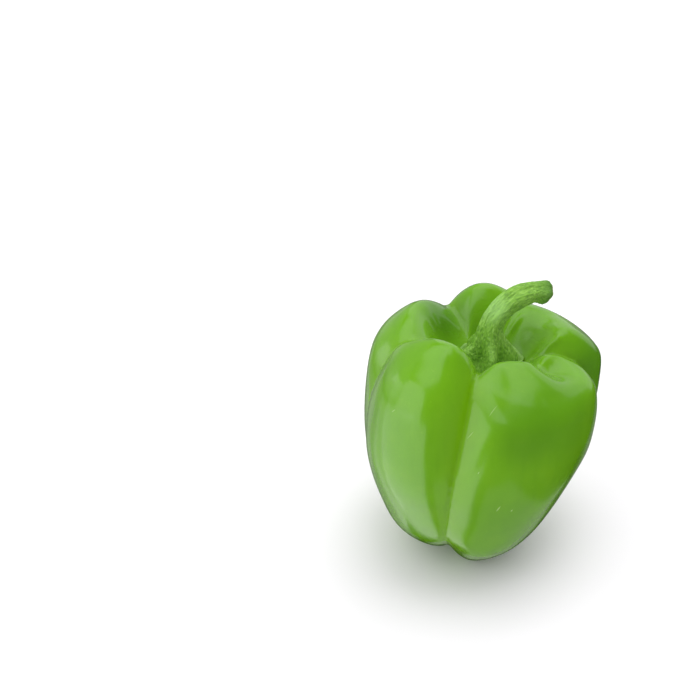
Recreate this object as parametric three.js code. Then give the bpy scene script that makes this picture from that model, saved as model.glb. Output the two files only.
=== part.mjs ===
// Green bell pepper as picked, standing on the ends of its lobes: the grown fruit, and its stem with calyx.
// Millimetres, +Z up, the broad front lobes towards -Y. The origin is on the surface that it stands on,
// under the middle of the fruit.
import * as THREE from 'three';
import { mergeVertices } from 'three/addons/utils/BufferGeometryUtils.js';

const { degToRad, euclideanModulo, lerp, smoothstep } = THREE.MathUtils;

// Driving dimensions of the fruit.
// Two meridians, one over a lobe's crest and one along a groove between lobes. Each runs from the middle of
// the hollow that holds the stem, over the shoulder and down the side to the navel underneath.
// A station is [distance from the axis, height].
const CREST_LINE = [
  [0, 70], [7, 70], [14, 75.5], [20, 87], [25.5, 90], [36, 81.5], [41, 70],
  [41.5, 48], [34.5, 24], [27.5, 11.5], [16, 1.5], [9, 3], [0, 6],
];
const GROOVE_LINE = [
  [0, 70], [7, 70], [10, 73.5], [18, 79.5], [26, 82], [30.5, 77], [37, 59],
  [38, 42], [32.5, 23], [22.5, 11], [15.5, 5], [8, 5.5], [0, 6],
];
const SHOULDER_STATION = 4;
const FOOT_STATION = 10;
const STATION_SPREAD = 1.6;
// Stations between which a lobe's reach, its low size and a groove's depth down the side come in
const REACH_FADE = [2, 5];
const LOW_FADE = [6, 9];
const SIDE_FADE = [4, 7];

// Lobes in order round the axis. at is the crest's bearing in degrees. reach and low scale the lobe's
// distance from the axis above and below the waist, shoulder and foot lift its two ends, and out pushes its
// shoulder out.
const LOBES = [
  { at: -130, reach: 1.07, low: 1.0, shoulder: 2, foot: 4.5, out: 1.5 },
  { at: -78, reach: 0.98, low: 1.1, shoulder: -7.5, foot: -0.9, out: -6.5 },
  { at: -26, reach: 0.97, low: 1.0, shoulder: -6.5, foot: -1.5, out: -1.5 },
  { at: 10, reach: 1.03, low: 0.88, shoulder: -6, foot: -1.2, out: 3 },
  { at: 90, reach: 1.02, low: 0.95, shoulder: 1, foot: -1.5, out: 0 },
  { at: 158, reach: 0.97, low: 0.85, shoulder: -1, foot: -1.5, out: 5 },
];
// Grooves in the same order, each after its lobe. shoulder and side scale the groove's depth there, and soft
// rounds its bottom. The second is only a shallow dip in the shoulder of the broad front lobe, which two
// entries above make up.
const GROOVES = [
  { at: -106, shoulder: 1.05, side: 1.3, soft: 0.1 },
  { at: -46, shoulder: 0.6, side: 0.15, soft: 0.6 },
  { at: -7, shoulder: 0.8, side: 1.3, soft: 0.1 },
  { at: 58, shoulder: 0.6, side: 1.0, soft: 0.12 },
  { at: 114, shoulder: 1.3, side: 1.1, soft: 0.1 },
  { at: -169, shoulder: 0.8, side: 0.7, soft: 0.12 },
];
const LOBE_FULLNESS = 2.2;
// Dish in the shoulder of the broad front lobe, behind its rim: the bearing and station of its middle, how
// far it spreads both ways, and its depth
const DISH = { at: -30, turn: 17, station: 3.7, spread: 0.9, depth: 8 };
// The axis leans over towards its top, and stands a little off the middle of the footprint
const AXIS_FOOT = [-5.8, -1.4];
const LEAN = [7 / 90, 1.5 / 90];
// The lobes' ends are pressed this far into the surface, which leaves small flat spots to stand on
const FLAT_SPOT_DEPTH = 0.6;
const COLUMNS_PER_SECTOR = 7;
const ROWS_PER_STATION = 3;

// Driving dimensions of the calyx: five pointed sepals that lie on the hollow's floor and lower walls.
// at is the bearing of a sepal's tip. tip and notch say how far out the tip and the notch after it lie, as
// stations of the fruit. A row of the upper face is [share of the way out to the edge, thickness there].
const SEPALS = [
  { at: -14, tip: 1.95, notch: 1.85 },
  { at: 50, tip: 2.1, notch: 1.3 },
  { at: 120, tip: 2.08, notch: 1.3 },
  { at: 200, tip: 2.05, notch: 1.3 },
  { at: 272, tip: 2.05, notch: 1.3 },
];
const SEPAL_POINTEDNESS = 1.4;
const SEPAL_GAP = 0.6;
const SEPAL_UPPER_ROWS = [[0.8, 1.9], [0.93, 1.3], [1, 1]];
const SEPAL_UNDER_ROWS = [1, 0.85, 0.6, 0.3, 0];
const COLUMNS_PER_HALF_SEPAL = 4;

// Driving dimensions of the stem, whose line bends over in one upright plane.
// A point is [distance from the axis in that plane, height, radius there].
const STEM_BEARING = 15;
const STEM_LINE = [
  [0.6, 74.5, 7.4], [1.0, 77, 6.6], [1.1, 80, 5.8], [0.9, 83, 4.9],
  [1.2, 86.5, 4.2], [2.7, 90.6, 3.9], [5.7, 94.3, 3.9], [10.0, 96.9, 4.0],
  [14.0, 97.9, 3.6], [16.5, 98.0, 3.4], [19.2, 97.5, 3.9], [20.5, 97.1, 3.5],
];
// Each sepal goes on up the stem as a rib, which is high where the stem spreads and low past this share of it
const BASE_RIB_HEIGHT = 0.32;
const STEM_RIB_HEIGHT = 0.08;
const SPREAD_SHARE = 0.36;
const STEM_ROWS = 22;
// The cut end is domed. A row is [share of the stem's radius, rise].
const CUT_END_ROWS = [[0, 1.3], [0.5, 1.15], [0.82, 0.7]];

const COLOURS = { fruit: 0x6aa51e, stem: 0x6c9d3c };

// The two items on either side of a bearing, and how far it is from the first to the second
function neighbours(items, bearing) {
  for (let i = 0; i < items.length; i += 1) {
    const before = items[i];
    const after = items[(i + 1) % items.length];
    const span = euclideanModulo(after.at - before.at, 360);
    const past = euclideanModulo(bearing - before.at, 360);
    if (past < span) return { before, after, share: past / span };
  }
  return { before: items[0], after: items[0], share: 0 };
}

// A quality of the lobes or grooves at any bearing, eased from one to the next
function eased(items, quality, bearing) {
  const { before, after, share } = neighbours(items, bearing);
  return lerp(before[quality], after[quality], smoothstep(share, 0, 1));
}

// Groove bottoms and crests in turn, with the height of each between groove and crest
const EDGES = LOBES.flatMap((lobe, i) => [{ at: lobe.at, height: 1 }, { at: GROOVES[i].at, height: 0 }]);

// How far the surface is out from the groove line towards the crest line, from 0 to 1
function crestShare(bearing) {
  const { before, after, share } = neighbours(EDGES, bearing);
  const soft = eased(GROOVES, 'soft', bearing);
  const height = lerp(before.height, after.height, share);
  const rounded = Math.sqrt(height ** 2 + soft ** 2 * (1 - height ** 2));
  return 1 - (1 - rounded) ** LOBE_FULLNESS;
}

// 1 in the middle, falling softly to 0 over about twice the width
function bump(distance, width) {
  return Math.exp(-((distance / width) ** 2));
}

// How far a station follows the shoulder or the foot as a lobe lifts it: the middle and the navel stay put
function follows(station, lifted) {
  const isEnd = station === 0 || station === CREST_LINE.length - 1;
  return isEnd ? 0 : bump(station - lifted, STATION_SPREAD);
}

// The fruit's meridian at one bearing, as a smooth curve through its stations
function meridian(bearing) {
  const share = crestShare(bearing);
  const lobe = (quality) => eased(LOBES, quality, bearing);
  const groove = (quality) => eased(GROOVES, quality, bearing);
  const dish = DISH.depth * bump(euclideanModulo(bearing - DISH.at + 180, 360) - 180, DISH.turn);
  const stations = CREST_LINE.map(([crestOut, crestUp], k) => {
    const [grooveOut, grooveUp] = GROOVE_LINE[k];
    const atShoulder = follows(k, SHOULDER_STATION);
    const atFoot = follows(k, FOOT_STATION);
    const upperReach = lerp(1, lobe('reach'), smoothstep(k, ...REACH_FADE));
    const reach = upperReach * lerp(1, lobe('low'), smoothstep(k, ...LOW_FADE));
    const out = crestOut * reach + lobe('out') * atShoulder;
    const dip = dish * bump(k - DISH.station, DISH.spread);
    const up = crestUp + lobe('shoulder') * atShoulder + lobe('foot') * atFoot - dip;
    const depth = lerp(groove('shoulder'), groove('side'), smoothstep(k, ...SIDE_FADE)) * (1 - share);
    return new THREE.Vector2(out + (grooveOut - crestOut) * depth, up + (grooveUp - crestUp) * depth);
  });
  // Past each end the curve goes on across the axis, so that the surface is level there
  const across = (point) => new THREE.Vector2(-point.x, point.y);
  return new THREE.SplineCurve([across(stations[1]), ...stations, across(stations.at(-2))]);
}

// Point of the fruit's surface at a bearing and a station, which may lie between two stations
function fruitPoint(bearing, station) {
  const { x: out, y: up } = meridian(bearing).getPoint((station + 1) / (CREST_LINE.length + 1));
  const height = Math.max(up - FLAT_SPOT_DEPTH, 0);
  const angle = degToRad(bearing);
  const x = AXIS_FOOT[0] + LEAN[0] * height + out * Math.cos(angle);
  const y = AXIS_FOOT[1] + LEAN[1] * height + out * Math.sin(angle);
  return new THREE.Vector3(x, y, height);
}

// Closed skin with a pole at each end, made from a sphere whose vertices are placed by column and row
function closedSkin(columns, rows, place) {
  const sphere = new THREE.SphereGeometry(1, columns, rows);
  const { position, uv } = sphere.attributes;
  for (let i = 0; i < position.count; i += 1) {
    const column = euclideanModulo(Math.round(uv.getX(i) * columns), columns);
    const row = Math.round((1 - uv.getY(i)) * rows);
    position.setXYZ(i, ...place(column, row).toArray());
  }
  sphere.deleteAttribute('normal');
  sphere.deleteAttribute('uv');
  const skin = mergeVertices(sphere);
  skin.computeVertexNormals();
  return skin;
}

// Bearing of a column, with as many columns between any two neighbouring marks
function columnBearing(marks, column, perSector) {
  const sector = Math.floor(column / perSector) % marks.length;
  const start = marks[sector].at;
  const span = euclideanModulo(marks[(sector + 1) % marks.length].at - start, 360);
  return start + (span * (column % perSector)) / perSector;
}

function makeFruit() {
  const columns = EDGES.length * COLUMNS_PER_SECTOR;
  const rows = (CREST_LINE.length - 1) * ROWS_PER_STATION;
  return closedSkin(columns, rows, (column, row) => {
    const bearing = columnBearing(EDGES, column, COLUMNS_PER_SECTOR);
    return fruitPoint(bearing, row / ROWS_PER_STATION);
  });
}

// Sepal tips and the notches between them in turn
const SEPAL_EDGES = SEPALS.flatMap(({ at, tip, notch }, i) => {
  const next = SEPALS[(i + 1) % SEPALS.length].at;
  const between = at + euclideanModulo(next - at, 360) / 2;
  return [{ at, tip: 1, station: tip }, { at: between, tip: 0, station: notch }];
});

// 1 at a sepal's tip or a stem's rib and 0 halfway to the next
function tipShare(bearing) {
  const { before, after, share } = neighbours(SEPAL_EDGES, bearing);
  return lerp(before.tip, after.tip, share);
}

// Point above the hollow's floor, at a share of the way out from the middle to the calyx's edge
function calyxPoint(bearing, share, rise) {
  const { before, after } = neighbours(SEPAL_EDGES, bearing);
  const [tip, notch] = before.tip === 1 ? [before, after] : [after, before];
  const edge = lerp(notch.station, tip.station, tipShare(bearing) ** SEPAL_POINTEDNESS);
  const point = fruitPoint(bearing, edge * share);
  point.z += SEPAL_GAP + rise;
  return point;
}

// Middle and radius of the stem at a share of its length, and the two directions across it
function stemSection(share) {
  const angle = degToRad(STEM_BEARING);
  const root = fruitPoint(0, 0);
  const line = new THREE.CatmullRomCurve3(
    STEM_LINE.map(([out, up]) => new THREE.Vector3(out * Math.cos(angle), out * Math.sin(angle), up)),
    false,
    'catmullrom',
  );
  const radii = new THREE.SplineCurve(STEM_LINE.map((point, i) => new THREE.Vector2(i, point[2])));
  const side = new THREE.Vector3(-Math.sin(angle), Math.cos(angle), 0);
  const along = line.getTangent(share);
  const over = new THREE.Vector3().crossVectors(side, along).normalize();
  const middle = line.getPoint(share).add(new THREE.Vector3(root.x, root.y, 0));
  return { middle, side, along, over, radius: radii.getPoint(share).y };
}

// Point on the stem's skin at a share of its length, drawn in to a share of its radius and moved ahead
function stemPoint(bearing, share, size, ahead) {
  const { middle, side, along, over, radius } = stemSection(share);
  const angle = degToRad(bearing - STEM_BEARING);
  const spread = smoothstep(SPREAD_SHARE - share, 0, SPREAD_SHARE);
  const ribHeight = lerp(STEM_RIB_HEIGHT, BASE_RIB_HEIGHT, spread);
  const rib = 1 + ribHeight * (2 * smoothstep(tipShare(bearing), 0, 1) - 1);
  return middle
    .addScaledVector(over, radius * rib * size * Math.cos(angle))
    .addScaledVector(side, radius * rib * size * Math.sin(angle))
    .addScaledVector(along, ahead);
}

// The rows run from the middle of the cut end down the stem, out over the calyx to its edge, and back under it
function makeStemWithCalyx() {
  const rings = [];
  for (const [size, rise] of CUT_END_ROWS) {
    rings.push((bearing) => stemPoint(bearing, 1, size, rise));
  }
  for (let row = STEM_ROWS; row >= 0; row -= 1) {
    rings.push((bearing) => stemPoint(bearing, row / STEM_ROWS, 1, 0));
  }
  for (const [share, thickness] of SEPAL_UPPER_ROWS) {
    rings.push((bearing) => calyxPoint(bearing, share, thickness));
  }
  for (const share of SEPAL_UNDER_ROWS) {
    rings.push((bearing) => calyxPoint(bearing, share, 0));
  }
  const columns = SEPAL_EDGES.length * COLUMNS_PER_HALF_SEPAL;
  return closedSkin(columns, rings.length - 1, (column, row) => {
    return rings[row](columnBearing(SEPAL_EDGES, column, COLUMNS_PER_HALF_SEPAL));
  });
}

// Named piece with its own finish
function piece(name, geometry, colour, roughness) {
  const finish = new THREE.MeshStandardMaterial({ color: colour, roughness, metalness: 0 });
  const mesh = new THREE.Mesh(geometry, finish);
  mesh.name = name;
  return mesh;
}

const bellPepper = new THREE.Group();
bellPepper.add(piece('fruit', makeFruit(), COLOURS.fruit, 0.3));
bellPepper.add(piece('stem_with_calyx', makeStemWithCalyx(), COLOURS.stem, 0.6));

export default bellPepper;
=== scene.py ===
# %% [markdown]
# This lesson dresses a green bell pepper for its picture.
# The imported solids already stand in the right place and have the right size, so they are loaded first.
# They could be shown as they are, but their faces are coarse and their colours plain. Instead each one is
# replaced by a finer piece that follows the same dimensions, so the two can never drift apart.

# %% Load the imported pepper
import functools
import math
import bmesh
import bpy
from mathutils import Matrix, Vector, kdtree, noise


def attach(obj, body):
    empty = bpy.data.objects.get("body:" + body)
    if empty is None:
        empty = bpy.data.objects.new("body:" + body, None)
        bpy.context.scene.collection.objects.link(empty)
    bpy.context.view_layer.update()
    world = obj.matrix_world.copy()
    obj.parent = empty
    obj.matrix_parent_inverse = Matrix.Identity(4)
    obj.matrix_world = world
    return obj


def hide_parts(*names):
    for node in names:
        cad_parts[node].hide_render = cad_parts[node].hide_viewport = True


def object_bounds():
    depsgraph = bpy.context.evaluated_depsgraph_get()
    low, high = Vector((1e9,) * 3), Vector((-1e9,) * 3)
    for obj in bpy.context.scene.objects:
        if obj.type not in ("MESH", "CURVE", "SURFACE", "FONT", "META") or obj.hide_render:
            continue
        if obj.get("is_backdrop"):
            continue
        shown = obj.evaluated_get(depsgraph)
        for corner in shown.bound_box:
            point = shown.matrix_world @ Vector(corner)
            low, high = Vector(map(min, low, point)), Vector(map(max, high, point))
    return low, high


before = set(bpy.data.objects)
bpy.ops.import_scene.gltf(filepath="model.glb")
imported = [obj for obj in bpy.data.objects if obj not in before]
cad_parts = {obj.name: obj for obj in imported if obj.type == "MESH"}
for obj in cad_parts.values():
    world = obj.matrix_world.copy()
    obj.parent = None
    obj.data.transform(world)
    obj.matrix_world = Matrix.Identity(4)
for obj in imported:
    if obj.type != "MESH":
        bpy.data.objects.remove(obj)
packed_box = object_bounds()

MM = 0.001
packed_size = [round((high - low) / MM, 1) for low, high in zip(*packed_box)]
print("packed pepper, mm:", packed_size, "nodes:", sorted(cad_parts))

# %% [markdown]
# The camera stands where the photographer stood: a little left of the pepper, looking down by 30 degrees
# through a 50 mm lens. It could be aimed with a constraint, but a place and a turn are plainer, and the
# other views of the lesson can move it freely.

# %% Camera
lens = bpy.data.cameras.new("camera")
lens.lens = 50
lens.sensor_width = 36
camera = bpy.data.objects.new("camera", lens)
camera.location = Vector((-46.87, -289.37, 244.63)) * MM
camera.rotation_euler = (math.radians(60), 0, 0)
bpy.context.scene.collection.objects.link(camera)
bpy.context.scene.camera = camera
print("camera stands", round(camera.location.length, 3), "m from the middle of the foot")

# %% [markdown]
# A pepper is grown, so no drawing gives its shape. Two side lines describe it well: one over the crest of
# a lobe and one along a groove. Each runs from the middle of the hollow at the top, over the shoulder and
# down to the navel underneath. They could be traced anew here, but the solids were made from the same
# numbers, in millimetres, and the fine skin has to lie on them.

# %% Side lines of the fruit
CREST_LINE = [
    (0, 70), (7, 70), (14, 75.5), (20, 87), (25.5, 90), (36, 81.5), (41, 70),
    (41.5, 48), (34.5, 24), (27.5, 11.5), (16, 1.5), (9, 3), (0, 6),
]
GROOVE_LINE = [
    (0, 70), (7, 70), (10, 73.5), (18, 79.5), (26, 82), (30.5, 77), (37, 59),
    (38, 42), (32.5, 23), (22.5, 11), (15.5, 5), (8, 5.5), (0, 6),
]
LAST_STATION = len(CREST_LINE) - 1
SHOULDER_STATION = 4
FOOT_STATION = 10
AXIS_FOOT = Vector((-5.8, -1.4, 0))
LEAN = Vector((7, 1.5, 0)) / 90
FLAT_SPOT_DEPTH = 0.6
LOBE_FULLNESS = 2.2
LIFT_SPREAD = 1.6
REACH_FADE = (2, 5)
LOW_FADE = (6, 9)
SIDE_FADE = (4, 7)
print(LAST_STATION + 1, "stations from the hollow to the navel")

# %% [markdown]
# No two lobes of a real pepper are alike. Each lobe here says at which bearing its crest stands, how far
# it reaches out above and below the waist, and how its shoulder and foot are lifted. Each groove says how
# deep it is. The broad lobe in front is two entries with only a shallow dip between them, and a dish is
# pressed into its shoulder.

# %% Lobes and grooves
LOBES = [
    dict(at=-130, reach=1.07, low=1.0, shoulder=2, foot=4.5, out=1.5),
    dict(at=-78, reach=0.98, low=1.1, shoulder=-7.5, foot=-0.9, out=-6.5),
    dict(at=-26, reach=0.97, low=1.0, shoulder=-6.5, foot=-1.5, out=-1.5),
    dict(at=10, reach=1.03, low=0.88, shoulder=-6, foot=-1.2, out=3),
    dict(at=90, reach=1.02, low=0.95, shoulder=1, foot=-1.5, out=0),
    dict(at=158, reach=0.97, low=0.85, shoulder=-1, foot=-1.5, out=5),
]
GROOVES = [
    dict(at=-106, shoulder=1.05, side=1.3, soft=0.1),
    dict(at=-46, shoulder=0.6, side=0.15, soft=0.6),
    dict(at=-7, shoulder=0.8, side=1.3, soft=0.1),
    dict(at=58, shoulder=0.6, side=1.0, soft=0.12),
    dict(at=114, shoulder=1.3, side=1.1, soft=0.1),
    dict(at=-169, shoulder=0.8, side=0.7, soft=0.12),
]
DISH = dict(at=-30, turn=17, station=3.7, spread=0.9, depth=8)
EDGES = []
for lobe, groove in zip(LOBES, GROOVES):
    EDGES.append(dict(at=lobe["at"], height=1))
    EDGES.append(dict(at=groove["at"], height=0))
print(len(LOBES), "lobes and as many grooves")

# %% [markdown]
# Between two lobes every quality changes smoothly. A few small helpers do that: a straight blend, an eased
# blend, and a smooth curve through a row of points. Blender's own curves could give the last, but here
# points are needed at any place of the curve, and four lines of arithmetic give them.

# %% Helpers for smooth blends
def lerp(first, second, share):
    return first + (second - first) * share


def smoothstep(value, low=0.0, high=1.0):
    share = min(max((value - low) / (high - low), 0.0), 1.0)
    return share * share * (3 - 2 * share)


def bump(distance, width):
    """1 in the middle, falling softly to 0 over about twice the width."""
    return math.exp(-((distance / width) ** 2))


def neighbours(items, bearing):
    """The items on either side of a bearing, and how far it is from the first to the second."""
    for i, before in enumerate(items):
        after = items[(i + 1) % len(items)]
        span = (after["at"] - before["at"]) % 360
        past = (bearing - before["at"]) % 360
        if past < span:
            return before, after, past / span
    return items[0], items[0], 0.0


def eased(items, quality, bearing):
    before, after, share = neighbours(items, bearing)
    return lerp(before[quality], after[quality], smoothstep(share))


def smooth_through(points, place):
    """Point of a smooth curve through the points, at a place counted in points from the first."""
    k = min(max(math.floor(place), 0), len(points) - 2)
    share = place - k
    here, there = points[k], points[k + 1]
    before = points[k - 1] if k > 0 else here * 2 - there
    after = points[k + 2] if k + 2 < len(points) else there * 2 - here
    slope_here = (there - before) / 2
    slope_there = (after - here) / 2
    rise = there - here
    return (
        here + slope_here * share + (rise * 3 - slope_here * 2 - slope_there) * share**2
        + (slope_here + slope_there - rise * 2) * share**3
    )


print("halfway between the first two lobes the reach is", round(eased(LOBES, "reach", -104), 3))

# %% [markdown]
# The fruit's surface at any bearing lies between the crest line and the groove line. The share between
# them rises fast out of the groove and stays full over the lobe, which gives plump lobes with narrow
# valleys. The axis leans over a little towards the top, and the ends of the lobes are pressed flat where
# the pepper stands on them.

# %% Surface of the fruit
def crest_share(bearing):
    before, after, share = neighbours(EDGES, bearing)
    soft = eased(GROOVES, "soft", bearing)
    height = lerp(before["height"], after["height"], share)
    rounded = math.sqrt(height**2 + soft**2 * (1 - height**2))
    return 1 - (1 - rounded) ** LOBE_FULLNESS


def follows(station, lifted):
    """How far a station goes with the shoulder or foot that a lobe lifts."""
    return 0.0 if station in (0, LAST_STATION) else bump(station - lifted, LIFT_SPREAD)


@functools.lru_cache(maxsize=None)
def side_line(bearing):
    share = crest_share(bearing)
    lobe = {quality: eased(LOBES, quality, bearing) for quality in LOBES[0] if quality != "at"}
    groove = {quality: eased(GROOVES, quality, bearing) for quality in ("shoulder", "side")}
    dish = DISH["depth"] * bump((bearing - DISH["at"] + 180) % 360 - 180, DISH["turn"])
    points = []
    for k, (crest, valley) in enumerate(zip(CREST_LINE, GROOVE_LINE)):
        at_shoulder = follows(k, SHOULDER_STATION)
        at_foot = follows(k, FOOT_STATION)
        upper_reach = lerp(1, lobe["reach"], smoothstep(k, *REACH_FADE))
        reach = upper_reach * lerp(1, lobe["low"], smoothstep(k, *LOW_FADE))
        out = crest[0] * reach + lobe["out"] * at_shoulder
        up = crest[1] + lobe["shoulder"] * at_shoulder + lobe["foot"] * at_foot
        up -= dish * bump(k - DISH["station"], DISH["spread"])
        depth = lerp(groove["shoulder"], groove["side"], smoothstep(k, *SIDE_FADE)) * (1 - share)
        points.append(Vector((out + (valley[0] - crest[0]) * depth, up + (valley[1] - crest[1]) * depth)))
    first = Vector((-points[1].x, points[1].y))
    last = Vector((-points[-2].x, points[-2].y))
    return [first, *points, last]


def fruit_point(bearing, station):
    out, up = smooth_through(side_line(bearing), station + 1)
    height = max(up - FLAT_SPOT_DEPTH, 0)
    angle = math.radians(bearing)
    return AXIS_FOOT + LEAN * height + Vector((out * math.cos(angle), out * math.sin(angle), height))


print("top of the lobe at the left, mm:", [round(n, 1) for n in fruit_point(158, 4)])

# %% [markdown]
# A closed skin with a pole at each end could be lofted ring by ring. A sphere from bmesh already has such
# rings and both poles closed, so its points are only moved to their places. The columns are spread so that
# one runs exactly along each crest and each groove, which keeps the grooves crisp.

# %% Sphere with its points placed
def column_bearing(marks, column, per_sector, crowding=1.0):
    """Bearing of a column. With crowding above 1 the columns crowd towards every second mark."""
    sector, past = divmod(column, per_sector)
    start = marks[sector % len(marks)]["at"]
    span = (marks[(sector + 1) % len(marks)]["at"] - start) % 360
    share = past / per_sector
    share = share**crowding if sector % 2 else 1 - (1 - share) ** crowding
    return start + span * share


def placed_sphere(columns, rows, place):
    """Sphere whose point in each column and row is moved to where place(column, row) says."""
    bm = bmesh.new()
    bmesh.ops.create_uvsphere(bm, u_segments=columns, v_segments=rows, radius=1)
    where = []
    for point in bm.verts:
        turn = math.atan2(point.co.y, point.co.x) / math.tau
        column = round(turn * columns) % columns
        row = round(math.acos(min(max(point.co.z, -1), 1)) / math.pi * rows)
        where.append((column, row))
        point.co = place(column, row)
    bm.normal_update()
    return bm, where


FRUIT_COLUMNS_PER_SECTOR = 18
FRUIT_ROWS = 100
fruit_columns = FRUIT_COLUMNS_PER_SECTOR * len(EDGES)


def fruit_bearing(column):
    return column_bearing(EDGES, column, FRUIT_COLUMNS_PER_SECTOR, crowding=1.4)


def fruit_place(column, row):
    return fruit_point(fruit_bearing(column), row / FRUIT_ROWS * LAST_STATION)


fruit_shape, fruit_where = placed_sphere(fruit_columns, FRUIT_ROWS, fruit_place)
print("fruit skin:", len(fruit_shape.verts), "points in", fruit_columns, "columns")

# %% [markdown]
# Up close the skin isn't as even as the two lines make it. It swells and dips softly by a few tenths of a
# millimetre, which is what makes the reflections on it wander. A Displace modifier could do this, but
# moving the points keeps the feet and the hollow, where the calyx sits, untouched.

# %% Gentle swells in the skin
def soft_swell(point):
    broad = noise.noise(point / 21 + Vector((3.1, 7.7, 1.3)))
    small = noise.noise(point / 9 + Vector((11.2, 0.4, 5.9)))
    return 0.55 * broad + 0.16 * small


for point in fruit_shape.verts:
    clear_of_foot = smoothstep(point.co.z, 1.0, 9.0)
    clear_of_stem = smoothstep((point.co.xy - fruit_point(0, 0).xy).length, 12, 20)
    point.co += point.normal * soft_swell(point.co) * clear_of_foot * clear_of_stem
fruit_shape.normal_update()
print("fruit stands", round(max(point.co.z for point in fruit_shape.verts), 1), "mm tall")

# %% [markdown]
# The wall of a pepper folds where the lobes meet in the hollow, and a thin seam often runs along a groove.
# These are sculpted like strokes of a modelling tool: each stroke follows a route over the skin, given by
# bearing and station, and raises or lowers the points beside it. A real brush in Sculpt Mode would do the
# same by hand, but a list of strokes can be changed and run again.

# %% Folds and seams
STROKES = [
    dict(
        name="crease between the front lobes", width=1.2, rise=-0.9,
        route=[(-107, 2.6), (-107, 5), (-107, 8), (-107, 11)],
    ),
    dict(
        name="crease at the left", width=1.1, rise=-0.5,
        route=[(-168, 3), (-168, 5), (-168, 7.5)],
    ),
    dict(
        name="crease at the right", width=1.1, rise=-0.5,
        route=[(-7, 3.6), (-7, 5.5), (-7, 8.5)],
    ),
    dict(
        name="softened crease at the back left", width=1.3, rise=0.4,
        route=[(114, 2), (114, 4), (114, 8)],
    ),
    dict(
        name="crease at the back right", width=1.1, rise=-0.5,
        route=[(58, 3.6), (58, 5.5), (58, 8.5)],
    ),
    dict(
        name="fold inside the right lobe", width=1.3, rise=0.8,
        route=[(-4, 2.8), (0, 3.2), (3, 3.5)],
    ),
    dict(
        name="ridge behind the front lobe", width=1.5, rise=0.3,
        route=[(-3, 2.6), (-9, 3.5), (-15, 4.5)],
    ),
    dict(
        name="seam at the back right", width=1.0, rise=0.7,
        route=[(54, 2.3), (51, 2.8), (48, 3.3)],
    ),
    dict(
        name="dip in the right lobe", width=3.4, rise=-0.9,
        route=[(18, 3.0), (28, 3.6), (36, 4.2)],
    ),
    dict(
        name="brow of the left front lobe", width=3.5, rise=0.5,
        route=[(-150, 5.0), (-138, 5.1), (-126, 4.9)],
    ),
    dict(
        name="brow of the right front lobe", width=3.2, rise=0.45,
        route=[(-84, 4.9), (-72, 5.1), (-60, 5.2)],
    ),
    dict(
        name="fold inside the left lobe", width=2.0, rise=0.5,
        route=[(149, 2.3), (150, 2.9), (146, 3.6)],
    ),
]


def stroke_points(route):
    ends = [Vector(place) for place in route]
    steps = 12 * (len(ends) - 1)
    places = [smooth_through(ends, i / 12) for i in range(steps + 1)]
    return [fruit_point(bearing, station) for bearing, station in places]


def press_stroke(bm, stroke):
    line = stroke_points(stroke["route"])
    finder = kdtree.KDTree(len(line))
    for i, point in enumerate(line):
        finder.insert(point, i)
    finder.balance()
    moved = 0
    for point in bm.verts:
        nearest, i, distance = finder.find(point.co)
        if distance > 3 * stroke["width"]:
            continue
        ends = smoothstep(min(i, len(line) - 1 - i) / (len(line) - 1), -0.05, 0.3)
        point.co += point.normal * stroke["rise"] * bump(distance, stroke["width"]) * ends
        moved += 1
    bm.normal_update()
    return moved


for stroke in STROKES:
    print(stroke["name"], "moved", press_stroke(fruit_shape, stroke), "points")

# %% [markdown]
# The materials will need to know where on the fruit a point is: how near to a groove, and how deep in the
# hollow. That could be worked out again from coordinates in every shader, but the mesh knows it best, so
# each point carries the two numbers as attributes, and the finished skin is kept clear of the floor.

# %% Marks on the skin for its material
def to_piece(bm, name, levels):
    """The finished shape as a smooth object at the origin, in metres."""
    bmesh.ops.scale(bm, vec=(MM, MM, MM), verts=bm.verts)
    mesh = bpy.data.meshes.new(name)
    bm.to_mesh(mesh)
    bm.free()
    mesh.shade_smooth()
    piece = bpy.data.objects.new(name, mesh)
    bpy.context.scene.collection.objects.link(piece)
    finer = piece.modifiers.new("finer", "SUBSURF")
    finer.levels = levels
    finer.render_levels = levels
    return piece


near_groove = fruit_shape.verts.layers.float.new("near_groove")
in_hollow = fruit_shape.verts.layers.float.new("in_hollow")
for point, (column, row) in zip(fruit_shape.verts, fruit_where):
    bearing = fruit_bearing(column)
    station = row / FRUIT_ROWS * LAST_STATION
    side_share = smoothstep(station, *SIDE_FADE)
    depth = lerp(eased(GROOVES, "shoulder", bearing), eased(GROOVES, "side", bearing), side_share)
    point[near_groove] = min(depth, 1) * (1 - crest_share(bearing))
    point[in_hollow] = 1 - smoothstep(station, 1.2, 3.4)
    point.co.z = max(point.co.z, 0)
fruit_skin = to_piece(fruit_shape, "fruit_skin", 1)
print("fruit_skin:", len(fruit_skin.data.polygons), "faces before it is made finer")

# %% [markdown]
# The calyx is the green star that is left of the flower: five pointed sepals on the floor of the hollow.
# The stem grows out of it, thick and ribbed, and bends over to one side. Both are one growth, so they are
# one piece, and each sepal goes on up the stem as a rib.

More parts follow.
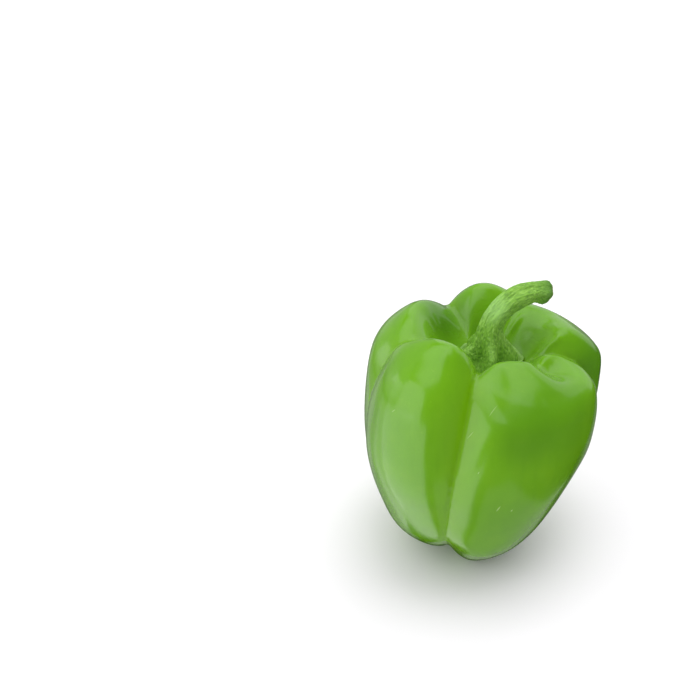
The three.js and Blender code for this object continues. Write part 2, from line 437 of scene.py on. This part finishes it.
# %% Dimensions of the stem and calyx
SEPALS = [
    dict(at=-14, tip=1.95, notch=1.85),
    dict(at=50, tip=2.1, notch=1.3),
    dict(at=120, tip=2.08, notch=1.3),
    dict(at=200, tip=2.05, notch=1.3),
    dict(at=272, tip=2.05, notch=1.3),
]
SEPAL_POINTEDNESS = 1.4
CALYX_GAP = 0.25
STEM_BEARING = 15
STEM_RINGS = 22
STEM_LENGTH = 37
STEM_RIB_HEIGHT = 0.08
BASE_RIB_HEIGHT = 0.32
SPREAD_SHARE = 0.36
BUTTRESS_HEIGHT = 2.0
STEM_LINE = [
    (0.6, 74.5, 7.4), (1.0, 77, 6.6), (1.1, 80, 5.8), (0.9, 83, 4.9),
    (1.2, 86.5, 4.2), (2.7, 90.6, 3.9), (5.7, 94.3, 3.9), (10.0, 96.9, 4.0),
    (14.0, 97.9, 3.6), (16.5, 98.0, 3.4), (19.2, 97.5, 3.9), (20.5, 97.1, 3.5),
]
SEPAL_EDGES = []
for sepal, following in zip(SEPALS, SEPALS[1:] + SEPALS[:1]):
    between = sepal["at"] + (following["at"] - sepal["at"]) % 360 / 2
    SEPAL_EDGES.append(dict(at=sepal["at"], tip=1, station=sepal["tip"]))
    SEPAL_EDGES.append(dict(at=between, tip=0, station=sepal["notch"]))


def tip_share(bearing):
    """1 at a sepal's tip or a rib, and 0 halfway to the next."""
    before, after, share = neighbours(SEPAL_EDGES, bearing)
    return lerp(before["tip"], after["tip"], share)


print(len(SEPALS), "sepals, stem", STEM_LINE[-1][1], "mm up at its cut end")

# %% [markdown]
# The stem follows a line that bends over in one upright plane. At every place of that line a ring is drawn
# round it, square to the line. A curve with a bevel would give a plain tube. Rings of points let the ribs
# fade along the stem and spread into the sepals.

# %% Rings of the stem and calyx
stem_angle = math.radians(STEM_BEARING)
stem_plane = Vector((math.cos(stem_angle), math.sin(stem_angle), 0))
stem_side = Vector((-math.sin(stem_angle), math.cos(stem_angle), 0))
stem_root = Vector((*fruit_point(0, 0).xy, 0))
stem_middles = [stem_root + stem_plane * out + Vector((0, 0, up)) for out, up, radius in STEM_LINE]
stem_radii = [radius for out, up, radius in STEM_LINE]
stem_steps = len(STEM_LINE) - 1


@functools.lru_cache(maxsize=None)
def stem_section(share):
    middle = smooth_through(stem_middles, share * stem_steps)
    ahead = smooth_through(stem_middles, min(share + 0.005, 1) * stem_steps)
    behind = smooth_through(stem_middles, max(share - 0.005, 0) * stem_steps)
    along = (ahead - behind).normalized()
    return middle, along, stem_side.cross(along).normalized(), smooth_through(stem_radii, share * stem_steps)


def stem_point(bearing, share, size=1.0, ahead=0.0):
    middle, along, over, radius = stem_section(share)
    angle = math.radians(bearing - STEM_BEARING)
    height = lerp(STEM_RIB_HEIGHT, BASE_RIB_HEIGHT, smoothstep(SPREAD_SHARE - share, 0, SPREAD_SHARE))
    rib = 1 + height * (2 * smoothstep(tip_share(bearing)) - 1)
    buttress = BUTTRESS_HEIGHT * smoothstep(tip_share(bearing), 0.45, 1) * bump(share - 0.1, 0.1)
    around = over * math.cos(angle) + stem_side * math.sin(angle)
    return middle + around * (radius * rib + buttress) * size + along * ahead


def calyx_point(bearing, share, rise):
    before, after, past = neighbours(SEPAL_EDGES, bearing)
    notch, tip = sorted((before, after), key=lambda edge: edge["tip"])
    edge = lerp(notch["station"], tip["station"], tip_share(bearing) ** SEPAL_POINTEDNESS)
    return fruit_point(bearing, edge * share) + Vector((0, 0, CALYX_GAP + rise))


RINGS = [("cut", 0, 1.7), ("cut", 0.5, 1.5), ("cut", 0.84, 0.95)]
RINGS += [("stem", step / STEM_RINGS, 0) for step in range(STEM_RINGS, -1, -1)]
RINGS += [("calyx", 0.8, 1.6), ("calyx", 0.92, 1.0), ("calyx", 1.0, 0.65)]
RINGS += [("calyx", share, 0.0) for share in (1.0, 0.85, 0.6, 0.3, 0)]


@functools.lru_cache(maxsize=None)
def stem_column(bearing):
    points = []
    for part, share, rise in RINGS:
        if part == "cut":
            points.append(stem_point(bearing, 1, share, rise))
        if part == "stem":
            points.append(stem_point(bearing, share))
        if part == "calyx":
            points.append(calyx_point(bearing, share, rise))
    return points


print(len(RINGS), "rings from the cut end to the underside of the calyx")

# %% [markdown]
# Again a sphere from bmesh is the closed skin, with many columns so that the corky grain can be real
# relief. Each point also keeps where it would lie if the stem were straight. The grain of the material
# reads that place, so it runs along the bent stem as it does on the real one.

# %% Skin of the stem
STEM_COLUMNS_PER_SECTOR = 16
STEM_ROWS = 132
stem_columns = STEM_COLUMNS_PER_SECTOR * len(SEPAL_EDGES)
last_ring = len(RINGS) - 1
first_stem_ring = 3
base_ring = first_stem_ring + STEM_RINGS


def ring_of(row):
    return row / STEM_ROWS * last_ring


def stem_place(column, row):
    bearing = column_bearing(SEPAL_EDGES, column, STEM_COLUMNS_PER_SECTOR)
    return smooth_through(stem_column(bearing), ring_of(row))


stem_shape, stem_where = placed_sphere(stem_columns, STEM_ROWS, stem_place)


def straightened(point, bearing, ring):
    """Where a point of the skin would lie if the stem were straight, in mm from its root."""
    if ring > base_ring:
        return point - stem_root - Vector((0, 0, STEM_LINE[0][1]))
    share = min((base_ring - ring) / STEM_RINGS, 1)
    middle, along, over, radius = stem_section(share)
    angle = math.radians(bearing)
    reach = (point - middle).length
    return Vector((reach * math.cos(angle), reach * math.sin(angle), share * STEM_LENGTH))


straight = []
for point, (column, row) in zip(stem_shape.verts, stem_where):
    bearing = column_bearing(SEPAL_EDGES, column, STEM_COLUMNS_PER_SECTOR)
    straight.append(straightened(point.co, bearing, ring_of(row)))
print("stem skin:", len(stem_shape.verts), "points")

# %% [markdown]
# The bark of the stem has fine cords that run along it, broken up by corky bumps, and the sepals have
# raised edges and a vein to the tip. Very fine grain is left to the material, but what is a tenth of a
# millimetre or more shows on the outline, so it is pushed out of the surface itself.

# %% Cords, cork and sepal edges
def cord_height(place):
    """Fine cords along the stem, from 0 in a furrow to 1 on a cord."""
    angle = math.atan2(place.y, place.x)
    wander = noise.noise(Vector((place.x / 5, place.y / 5, place.z / 9))) * 1.5
    return 0.5 + 0.5 * math.sin(angle * 17 + wander * 3)


def cork_height(place):
    stretched = Vector((place.x * 1.6, place.y * 1.6, place.z * 0.9))
    return noise.noise(stretched) + 0.5 * noise.noise(stretched * 2.1)


cord = stem_shape.verts.layers.float.new("cord")
cut_end = stem_shape.verts.layers.float.new("cut_end")
sepal_edge = stem_shape.verts.layers.float.new("sepal_edge")
on_sepal = stem_shape.verts.layers.float.new("on_sepal")
unbent = stem_shape.verts.layers.float_vector.new("unbent")
for point, (column, row), place in zip(stem_shape.verts, stem_where, straight):
    ring = ring_of(row)
    bearing = column_bearing(SEPAL_EDGES, column, STEM_COLUMNS_PER_SECTOR)
    on_top = 1 - smoothstep(ring, base_ring + 3.0, base_ring + 3.6)
    on_bark = smoothstep(ring, first_stem_ring - 0.5, first_stem_ring + 0.5)
    out_on_calyx = smoothstep(ring, base_ring, base_ring + 1)
    raised_edge = bump(ring - (base_ring + 2.6), 0.45) * on_top
    vein = bump(1 - tip_share(bearing), 0.12) * out_on_calyx
    height = 0.07 * cord_height(place) * lerp(1, 0.4, out_on_calyx) + 0.22 * cork_height(place)
    height = height * on_top * lerp(0.5, 1, on_bark)
    height += 0.15 * raised_edge + 0.3 * vein * on_top
    point.co += point.normal * height
    point[cord] = cord_height(place)
    point[cut_end] = 1 - smoothstep(ring, first_stem_ring - 1.2, first_stem_ring + 0.1)
    point[sepal_edge] = raised_edge
    point[on_sepal] = out_on_calyx
    point[unbent] = place * MM
stem_shape.normal_update()
stem_and_calyx = to_piece(stem_shape, "stem_and_calyx", 1)
print("stem_and_calyx:", len(stem_and_calyx.data.polygons), "faces before it is made finer")

# %% [markdown]
# Materials are written as sums. A small class wraps a socket of a shader, so that 1 - mask adds the Math
# node that does it, and its new() method adds any other node. The same trees could be drawn by hand in
# the Shader Editor, but sums are shorter to read and to change.

# %% A socket that understands sums
class Wire:
    """A value in a material. Sums on it add Math nodes, and new() adds any other node."""

    def __init__(self, tree, socket=None):
        self.tree = tree
        self.socket = socket

    def new(self, kind, settings, sockets, output=0):
        node = self.tree.nodes.new("ShaderNode" + kind)
        for name, value in settings.items():
            setattr(node, name, value)
        for name, value in sockets.items():
            if isinstance(value, Wire):
                self.tree.links.new(value.socket, node.inputs[name])
            else:
                node.inputs[name].default_value = value
        return Wire(self.tree, node.outputs[output] if node.outputs else None)

    def sum(self, operation, first, second):
        return self.new("Math", dict(operation=operation), {0: first, 1: second})

    def __add__(self, other):
        return self.sum("ADD", self, other)

    def __radd__(self, other):
        return self.sum("ADD", other, self)

    def __sub__(self, other):
        return self.sum("SUBTRACT", self, other)

    def __rsub__(self, other):
        return self.sum("SUBTRACT", other, self)

    def __mul__(self, other):
        return self.sum("MULTIPLY", self, other)

    def __rmul__(self, other):
        return self.sum("MULTIPLY", other, self)

    def __pow__(self, other):
        return self.sum("POWER", self, other)


def new_finish(name):
    material = bpy.data.materials.new(name)
    material.use_nodes = True
    material.node_tree.nodes.clear()
    return material, Wire(material.node_tree)


def grain(start, place, size, detail=2.0, roughness=0.5):
    """Soft noise from 0 to 1 whose lumps are about size metres across."""
    sockets = {"Vector": place, "Scale": 1 / size, "Detail": detail, "Roughness": roughness}
    return start.new("TexNoise", {}, sockets)


def ramp(value, low, high):
    """0 below low and 1 above high, with a soft step between."""
    sockets = {"Value": value, "From Min": low, "From Max": high}
    return value.new("MapRange", dict(interpolation_type="SMOOTHSTEP"), sockets)


def tinted(base, tint, share):
    """The base colour with a share of the tint mixed in."""
    return share.new("Mix", dict(data_type="RGBA"), {0: share, 6: base, 7: tint}, output=2)


def round_spot(start, place, middle, inner, outer):
    """1 near a place given in mm and 0 beyond the outer distance from it."""
    sockets = {0: place, 1: middle * MM}
    apart = start.new("VectorMath", dict(operation="DISTANCE"), sockets, output="Value")
    return 1 - ramp(apart, inner * MM, outer * MM)


def stretched(start, place, scale):
    return start.new("Mapping", {}, {"Vector": place, "Scale": scale})


print("shader sums are ready")

# %% [markdown]
# The skin is a smooth green wax over a watery wall. Its colour hardly changes: a little deeper in soft
# clouds, more yellow beside the grooves where less light reached it, with faint streaks from top to bottom
# and pale flecks the size of a pinprick. One flat green would look like plastic, and an image would need
# a file. Noise of several sizes, each with a small share, gives the same restlessness. Soft round spots of
# deeper green are painted shade, on the sides of the lobes that turn from the light and in the hollow by the
# stem.

# %% Colour of the skin
skin_finish, start = new_finish("waxy_green_skin")
place = start.new("TexCoord", {}, {}, output="Object")
groove_mark = start.new("Attribute", dict(attribute_name="near_groove"), {}, output="Fac")
hollow_mark = start.new("Attribute", dict(attribute_name="in_hollow"), {}, output="Fac")
clouds = grain(start, place, 0.024)
blotches = grain(start, place, 0.007, detail=3)
streaks = grain(start, stretched(start, place, (1, 1, 0.12)), 0.0028, detail=3)
flecks = ramp(grain(start, place, 0.0011, detail=1), 0.66, 0.8)
LEAF_GREEN = (0.129, 0.345, 0.002, 1)
DEEP_GREEN = (0.072, 0.222, 0.003, 1)
YELLOW_GREEN = (0.21, 0.42, 0.003, 1)
PALE_GREEN = (0.31, 0.51, 0.03, 1)
skin_colour = tinted(LEAF_GREEN, DEEP_GREEN, ramp(clouds, 0.35, 0.75) * 0.3)
skin_colour = tinted(skin_colour, YELLOW_GREEN, ramp(blotches, 0.45, 0.8) * 0.12)
skin_colour = tinted(skin_colour, DEEP_GREEN, ramp(streaks, 0.5, 0.8) * 0.14)
skin_colour = tinted(skin_colour, YELLOW_GREEN, ramp(groove_mark, 0.2, 0.9) * 0.2)
skin_colour = tinted(skin_colour, PALE_GREEN, flecks * 0.10)
# Painted shade: soft spots of deeper green where the lobes lie in shade, and in the hollow beside the stem.
PAINTED_SHADES = [
    dict(at=(2, 5.4), size=19, share=0.95),
    dict(at=(-50, 5.6), size=20, share=0.55),
    dict(at=(-76, 5.9), size=17, share=0.65),
    dict(at=(134, 3.0), size=14, share=0.95),
    dict(at=(70, 6.5), size=24, share=0.3),
    dict(at=(-178, 7.0), size=18, share=0.3),
]
for shade in PAINTED_SHADES:
    middle = fruit_point(*shade["at"])
    deeper = round_spot(start, place, middle, 0.2 * shade["size"], shade["size"]) * shade["share"]
    skin_colour = tinted(skin_colour, DEEP_GREEN, deeper)
print("skin colour from", len(skin_finish.node_tree.nodes), "nodes")

# %% [markdown]
# A few thin pale scratches show that the pepper has been handled. They could be painted, but each is only
# a line between two places on the skin, so it is a long thin egg in space: a Mapping node moves, turns and
# scales the coordinates into that egg, and what lies inside it is scratched.

# %% Scratches
SCRATCHES = [
    dict(start=(-95, 5.34), end=(-90, 5.03), width=0.30),
    dict(start=(-104, 5.66), end=(-101, 5.56), width=0.24),
    dict(start=(-114, 6.31), end=(-111, 6.06), width=0.24),
    dict(start=(-125, 7.19), end=(-120, 6.84), width=0.26),
    dict(start=(-85.5, 7.26), end=(-84, 7.16), width=0.24),
    dict(start=(-78.3, 7.29), end=(-77.8, 7.26), width=0.26),
    dict(start=(-140, 5.91), end=(-138, 5.77), width=0.22),
    dict(start=(-96.2, 6.48), end=(-95.8, 6.44), width=0.24),
]


def scratch_mask(start, place, scratch):
    first = fruit_point(*scratch["start"]) * MM
    second = fruit_point(*scratch["end"]) * MM
    turn = (second - first).to_track_quat("X", "Z").to_euler()
    half_length = (second - first).length / 2 + 0.0002
    half_width = scratch["width"] * MM / 2
    sockets = {
        "Vector": place,
        "Location": (first + second) / 2,
        "Rotation": turn,
        "Scale": (half_length, half_width, 5 * half_width),
    }
    inside = start.new("Mapping", dict(vector_type="TEXTURE"), sockets)
    away = start.new("VectorMath", dict(operation="LENGTH"), {0: inside}, output="Value")
    return 1 - ramp(away, 0.35, 1.0)


scratched = scratch_mask(start, place, SCRATCHES[0])
for scratch in SCRATCHES[1:]:
    scratched = scratched.sum("MAXIMUM", scratched, scratch_mask(start, place, scratch))
SCRATCH_GREEN = (0.42, 0.62, 0.20, 1)
skin_colour = tinted(skin_colour, SCRATCH_GREEN, scratched * 0.75)
print(len(SCRATCHES), "scratches")

# %% [markdown]
# The shine comes from two layers, as on the real skin: the skin itself, a little rough, and a thin clear
# wax over it that mirrors the lights with a crisper edge. The relief is given in millimetres through a
# Bump node: hardly visible pits, and a slow wave that bends the reflections.

# %% Shine and relief of the skin
pits = grain(start, place, 0.0009, detail=2)
waves = grain(start, place, 0.006, detail=1)
skin_relief = pits * 0.012 + waves * 0.09 - scratched * 0.03
skin_normal = start.new("Bump", {}, {"Strength": 1.0, "Distance": MM, "Height": skin_relief})
skin_roughness = 0.22 + blotches * 0.06 + scratched * 0.2 + hollow_mark * 0.06
skin_shader = start.new(
    "BsdfPrincipled",
    {},
    {
        "Base Color": skin_colour,
        "Roughness": skin_roughness,
        "IOR": 1.5,
        "Coat Weight": 0.6,
        "Coat Roughness": 0.14,
        "Coat IOR": 1.45,
        "Normal": skin_normal,
    },
)
start.new("OutputMaterial", {}, {"Surface": skin_shader})
fruit_skin.data.materials.append(skin_finish)
print("skin finish has", len(skin_finish.node_tree.nodes), "nodes")

# %% [markdown]
# The stem is dull and fibrous. Its cords are pale where they stand up and dark in the furrows, a pale mint
# spot on the outer side of its bend is a painted highlight, the darkening towards its tip is painted shade,
# the edges of the sepals are paler still, and the cut end has dried to a brownish olive. The marks on the
# mesh say where each of these is, and stretched noise in the straightened place adds the fibres.

# %% Finish of the stem and calyx
stem_finish, start = new_finish("fibrous_green_stem")
place = start.new("TexCoord", {}, {}, output="Object")
along = start.new("Attribute", dict(attribute_name="unbent"), {}, output="Vector")
up_the_stem = start.new("SeparateXYZ", {}, {0: along}, output="Z")
cord_mark = start.new("Attribute", dict(attribute_name="cord"), {}, output="Fac")
cut_mark = start.new("Attribute", dict(attribute_name="cut_end"), {}, output="Fac")
edge_mark = start.new("Attribute", dict(attribute_name="sepal_edge"), {}, output="Fac")
sepal_mark = start.new("Attribute", dict(attribute_name="on_sepal"), {}, output="Fac")
fibres = grain(start, stretched(start, along, (1, 1, 0.42)), 0.00052, detail=3, roughness=0.6)
cork = grain(start, stretched(start, along, (1, 1, 0.6)), 0.0007, detail=3, roughness=0.6)
patches = grain(start, along, 0.005)
STEM_GREEN = (0.172, 0.395, 0.026, 1)
FURROW_GREEN = (0.055, 0.17, 0.016, 1)
TIP_SHADE_GREEN = (0.065, 0.20, 0.012, 1)
CORD_GREEN = (0.29, 0.55, 0.085, 1)
PAINTED_SHEEN_MINT = (0.36, 0.66, 0.20, 1)
EDGE_GREEN = (0.28, 0.52, 0.12, 1)
CUT_BROWN = (0.20, 0.21, 0.055, 1)
stem_colour = tinted(STEM_GREEN, FURROW_GREEN, ramp(1 - cord_mark, 0.45, 1.0) * 0.12)
stem_colour = tinted(stem_colour, FURROW_GREEN, ramp(1 - cork, 0.48, 0.62) * (0.5 - sepal_mark * 0.25))
stem_colour = tinted(stem_colour, CORD_GREEN, ramp(fibres, 0.52, 0.64) * 0.75)
stem_colour = tinted(stem_colour, CORD_GREEN, ramp(patches, 0.45, 0.7) * 0.2)
# Painted highlight: a soft pale mint spot on the side of the stem where the light catches it.
stem_colour = tinted(stem_colour, PAINTED_SHEEN_MINT, round_spot(start, place, stem_point(215, 0.5), 1, 7.5) * 0.4)
# Painted shade: the stem grows darker towards its tip.
stem_colour = tinted(stem_colour, TIP_SHADE_GREEN, ramp(up_the_stem, 0.027, 0.036) * 0.8)
stem_colour = tinted(stem_colour, EDGE_GREEN, edge_mark * 0.75)
stem_colour = tinted(stem_colour, CUT_BROWN, cut_mark * 0.8)
stem_relief = fibres * 0.22 + cork * 0.28
stem_normal = start.new("Bump", {}, {"Strength": 1.0, "Distance": MM, "Height": stem_relief})
stem_roughness = 0.42 + cork * 0.15 + cut_mark * 0.2
stem_shader = start.new(
    "BsdfPrincipled",
    {},
    {"Base Color": stem_colour, "Roughness": stem_roughness, "IOR": 1.5, "Normal": stem_normal},
)
start.new("OutputMaterial", {}, {"Surface": stem_shader})
stem_and_calyx.data.materials.append(stem_finish)
print("stem finish has", len(stem_finish.node_tree.nodes), "nodes")

# %% [markdown]
# The pepper stands on a plain white floor, wide enough that its edge is never in view. A curved paper
# sweep is what a studio would use, but from this height the camera sees only the floor.

# %% Floor
floor_shape = bmesh.new()
bmesh.ops.create_grid(floor_shape, x_segments=1, y_segments=1, size=8)
floor_mesh = bpy.data.meshes.new("floor")
floor_shape.to_mesh(floor_mesh)
floor_shape.free()
floor = bpy.data.objects.new("floor", floor_mesh)
bpy.context.scene.collection.objects.link(floor)
floor_finish, start = new_finish("white_floor")
floor_shader = start.new(
    "BsdfPrincipled",
    {},
    {"Base Color": (0.79, 0.772, 0.80, 1), "Roughness": 0.9, "Specular IOR Level": 0.1},
)
start.new("OutputMaterial", {}, {"Surface": floor_shader})
floor.data.materials.append(floor_finish)
floor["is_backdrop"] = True
print("floor is", floor.dimensions.x, "m wide")

# %% [markdown]
# The pepper stands in a white light tent, so soft light of nearly the same strength reaches it from every
# side and its own shadow is only a pale pool round the foot. The world does that alone, with a little more
# light from straight above. What the wax mirrors is another matter. In a studio it would be tents, tables
# and walls. Here each of them is a panel: bright ones at the left, also below the level of the table, make
# the pale bands on the left of each lobe, weaker ones overhead and behind make the soft caps on the
# shoulders, and the right mirrors nothing. The world and the floor are kept out of the reflections, and
# most panels are seen only in them.

# %% Soft lights
def soft_panel(name, place, width, height, brightness, lights_too=False):
    """Panel that faces the pepper from a place in metres. Most are seen only in reflections."""
    lamp = bpy.data.lights.new(name, "AREA")
    lamp.shape = "RECTANGLE"
    lamp.size = width
    lamp.size_y = height
    lamp.energy = brightness * width * height * math.pi
    panel = bpy.data.objects.new(name, lamp)
    panel.location = place
    panel.rotation_euler = panel.location.to_track_quat("Z", "Y").to_euler()
    panel.visible_diffuse = lights_too
    bpy.context.scene.collection.objects.link(panel)
    return panel


def low_panel(name, place, width, height, brightness, turn=0.0):
    """Panel that lies level under the floor, looks up and is turned round by an angle in degrees."""
    panel = soft_panel(name, (*place, -0.5), width, height, brightness)
    panel.rotation_euler = (math.pi, 0, math.radians(turn))
    return panel


def level_panel(name, place, width, height, brightness):
    """Panel that lies level over the pepper and looks straight down."""
    panel = soft_panel(name, place, width, height, brightness, lights_too=True)
    panel.rotation_euler = (0, 0, 0)
    return panel


low_panel("panel_low", (-2.29, -0.97), 3.6, 3.3, 1.28, turn=-20)
low_panel("panel_under", (0.23, -0.3), 0.52, 1.2, 0.35)
soft_panel("panel_low_back", (-2.1, 1.1, -1.85), 1.0, 3.0, 0.6)
soft_panel("panel_low_far", (-1.5, 1.8, -1.85), 1.6, 3.0, 0.28)
soft_panel("panel_behind", (0.24, 2.77, -1.12), 4.6, 2.6, 0.2)
soft_panel("panel_left", (-3.6, -1.5, 1.0), 4.2, 3.4, 1.25, lights_too=True)
soft_panel("panel_left_strip", (-3.6, 1.5, 0.3), 2.4, 1.1, 0.85)
soft_panel("panel_back_left", (-2.6, 2.9, 1.0), 6.0, 3.4, 0.32)
soft_panel("panel_back_right", (2.0, 2.87, 1.7), 5.6, 3.8, 0.7, lights_too=True)
level_panel("panel_above", (-1.85, -0.2, 3.9), 4.8, 6.4, 0.95)
level_panel("panel_above_right", (1.4, 1.1, 3.9), 1.7, 3.8, 0.9)
lamp_above = soft_panel("lamp_above", (0.25, 0.1, 3.0), 1.6, 1.6, 2.9, lights_too=True)
lamp_above.visible_glossy = False
world = bpy.data.worlds.new("light_tent")
world.use_nodes = True
world.node_tree.nodes["Background"].inputs["Color"].default_value = (1, 1, 1, 1)
world.node_tree.nodes["Background"].inputs["Strength"].default_value = 0.76
world.cycles_visibility.glossy = False
bpy.context.scene.world = world
floor.visible_glossy = False
bpy.context.scene.view_settings.view_transform = "Standard"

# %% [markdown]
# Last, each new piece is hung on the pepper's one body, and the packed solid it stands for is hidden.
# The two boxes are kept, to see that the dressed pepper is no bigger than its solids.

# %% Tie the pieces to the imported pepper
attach(fruit_skin, "root")
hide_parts("fruit")
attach(stem_and_calyx, "root")
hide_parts("stem_with_calyx")
dressed_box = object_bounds()
dressed_size = [round((high - low) / MM, 1) for low, high in zip(*dressed_box)]
print("dressed pepper, mm:", dressed_size, "against", packed_size)
